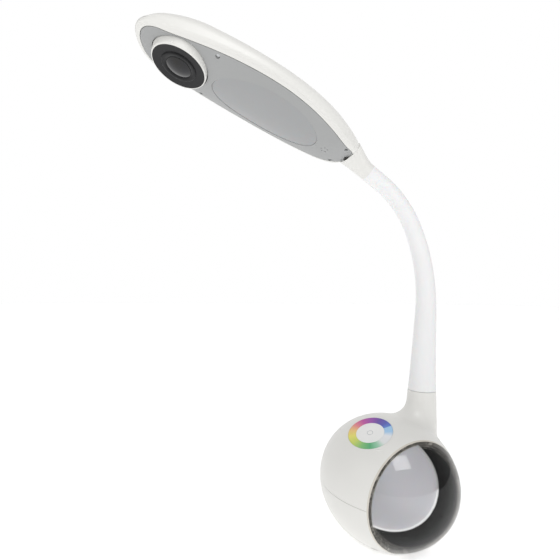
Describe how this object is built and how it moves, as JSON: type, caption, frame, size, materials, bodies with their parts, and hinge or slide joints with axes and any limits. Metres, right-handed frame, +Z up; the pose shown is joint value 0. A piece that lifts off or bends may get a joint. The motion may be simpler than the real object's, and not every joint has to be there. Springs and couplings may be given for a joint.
{
  "type": "document camera",
  "caption": "Desk document camera with a weighted ball base, night-light dome, touch control, bendable sleeved neck and a slim lit camera head.",
  "frame": {"origin": "centre of the foot's resting face, on the desk", "axes": "+Z up, -Y the way the head reaches, +X the side of the night-light dome"},
  "size_m": [0.12, 0.2769, 0.3901],
  "materials": {
    "white_shell": "fine satin moulded plastic",
    "white_sleeve": "smooth matt silicone",
    "head_underside": "fine satin moulded plastic",
    "diffuser": "milky frosted plastic",
    "clear_dome": "clear polished plastic",
    "trim": "satin",
    "black_gloss": "polished black",
    "black_matt": "matt black",
    "lens_glass": "coated lens glass",
    "colour_ring": "printed colour wheel under gloss",
    "touch_white": "gloss white",
    "steel": "plain steel",
    "ballast_iron": "raw casting",
    "foot_rubber": "matt rubber",
    "board_green": "solder mask",
    "board_white": "white solder mask",
    "led_yellow": "phosphor",
    "brass": "turned",
    "wire_grey": "cable jacket"
  },
  "bodies": {
    "base": {"base_upper_shell": "white_shell", "base_lower_shell": "white_shell", "foot_ring": "foot_rubber", "ballast_weight": "ballast_iron", "ballast_screws": "steel", "shell_screws": "steel", "touch_ring": "colour_ring", "touch_disc": "touch_white", "touch_board": "board_green", "main_board": "board_green", "board_standoffs": "brass", "board_screws": "steel", "board_connectors": "black_matt", "usb_socket": "steel", "touch_cable": "wire_grey", "nightlight_cable": "wire_grey", "neck_cable": "wire_grey", "dome_rim": "trim", "dome_cover": "clear_dome", "dome_diffuser": "diffuser", "nightlight_tray": "white_shell", "nightlight_board": "board_white", "nightlight_leds": "led_yellow", "neck_anchor": "steel", "anchor_screws": "steel"},
    "link_1": {"neck_hose_1": "steel", "neck_sleeve_1": "white_sleeve"},
    "link_2": {"neck_hose_2": "steel", "neck_sleeve_2": "white_sleeve"},
    "link_3": {"neck_hose_3": "steel", "neck_sleeve_3": "white_sleeve"},
    "link_4": {"neck_hose_4": "steel", "neck_sleeve_4": "white_sleeve"},
    "link_5": {"neck_hose_5": "steel", "neck_sleeve_5": "white_sleeve"},
    "link_6": {"neck_hose_6": "steel", "neck_sleeve_6": "white_sleeve"},
    "link_7": {"neck_hose_7": "steel", "neck_sleeve_7": "white_sleeve"},
    "link_8": {"neck_hose_8": "steel", "neck_sleeve_8": "white_sleeve"},
    "head": {"head_ferrule": "steel", "head_collar": "white_shell", "head_top_cover": "white_shell", "head_bottom_cover": "head_underside", "light_panel": "diffuser", "light_board": "board_white", "light_leds": "led_yellow", "head_screws": "steel", "microphone": "black_matt", "camera_mount": "black_matt", "camera_board": "board_green", "image_sensor": "black_matt", "camera_board_screws": "steel"},
    "focus_ring": {"camera_ring": "white_shell", "camera_bezel": "black_gloss", "camera_window": "lens_glass"},
    "lens_cell": {"lens_barrel": "black_matt", "camera_lens": "lens_glass"}
  },
  "joints": [
    {"name": "neck_lower_bend_1", "type": "hinge", "parent": "base", "child": "link_1", "pos_m": [0, 0.0382, 0.1326], "axis": [1, 0, 0], "range_deg": [-12, 12]},
    {"name": "neck_side_bend_1", "type": "hinge", "parent": "link_1", "child": "link_2", "pos_m": [0, 0.0382, 0.15958], "axis": [0, 1, 0], "range_deg": [-12, 12]},
    {"name": "neck_lower_bend_2", "type": "hinge", "parent": "link_2", "child": "link_3", "pos_m": [0, 0.0382, 0.18655], "axis": [1, 0, 0], "range_deg": [-12, 12]},
    {"name": "neck_side_bend_2", "type": "hinge", "parent": "link_3", "child": "link_4", "pos_m": [0, 0.038, 0.21353], "axis": [0, 0.9986, 0.0526], "range_deg": [-12, 12]},
    {"name": "neck_lower_bend_3", "type": "hinge", "parent": "link_4", "child": "link_5", "pos_m": [0, 0.03406, 0.24018], "axis": [1, 0, 0], "range_deg": [-12, 12]},
    {"name": "neck_side_bend_3", "type": "hinge", "parent": "link_5", "child": "link_6", "pos_m": [0, 0.02518, 0.26561], "axis": [0, 0.909, 0.4169], "range_deg": [-12, 12]},
    {"name": "neck_upper_bend_1", "type": "hinge", "parent": "link_6", "child": "link_7", "pos_m": [0, 0.01156, 0.28883], "axis": [1, 0, 0], "range_deg": [-18, 18]},
    {"name": "neck_side_bend_4", "type": "hinge", "parent": "link_7", "child": "link_8", "pos_m": [0, -0.00794, 0.30731], "axis": [0, 0.5674, 0.8234], "range_deg": [-12, 12]},
    {"name": "neck_upper_bend_2", "type": "hinge", "parent": "link_8", "child": "head", "pos_m": [0, -0.03148, 0.32047], "axis": [1, 0, 0], "range_deg": [-18, 18]},
    {"name": "focus_ring_turn", "type": "hinge", "parent": "head", "child": "focus_ring", "pos_m": [0, -0.18716, 0.37516], "axis": [0, -0.3223, -0.9466], "range_deg": [-60, 60]},
    {"name": "lens_focus_slide", "type": "slide", "parent": "head", "child": "lens_cell", "axis": [0, -0.3223, -0.9466], "range_m": [-0.0005, 0.0005]}
  ],
  "couplings": [
    {"joint": "neck_lower_bend_2", "follows": "neck_lower_bend_1", "ratio": 1},
    {"joint": "neck_side_bend_2", "follows": "neck_side_bend_1", "ratio": 1},
    {"joint": "neck_lower_bend_3", "follows": "neck_lower_bend_1", "ratio": 1},
    {"joint": "neck_side_bend_3", "follows": "neck_side_bend_1", "ratio": 1},
    {"joint": "neck_side_bend_4", "follows": "neck_side_bend_1", "ratio": 1},
    {"joint": "neck_upper_bend_2", "follows": "neck_upper_bend_1", "ratio": 1},
    {"joint": "lens_focus_slide", "follows": "focus_ring_turn", "m_per_rad": 0.00047699}
  ]
}
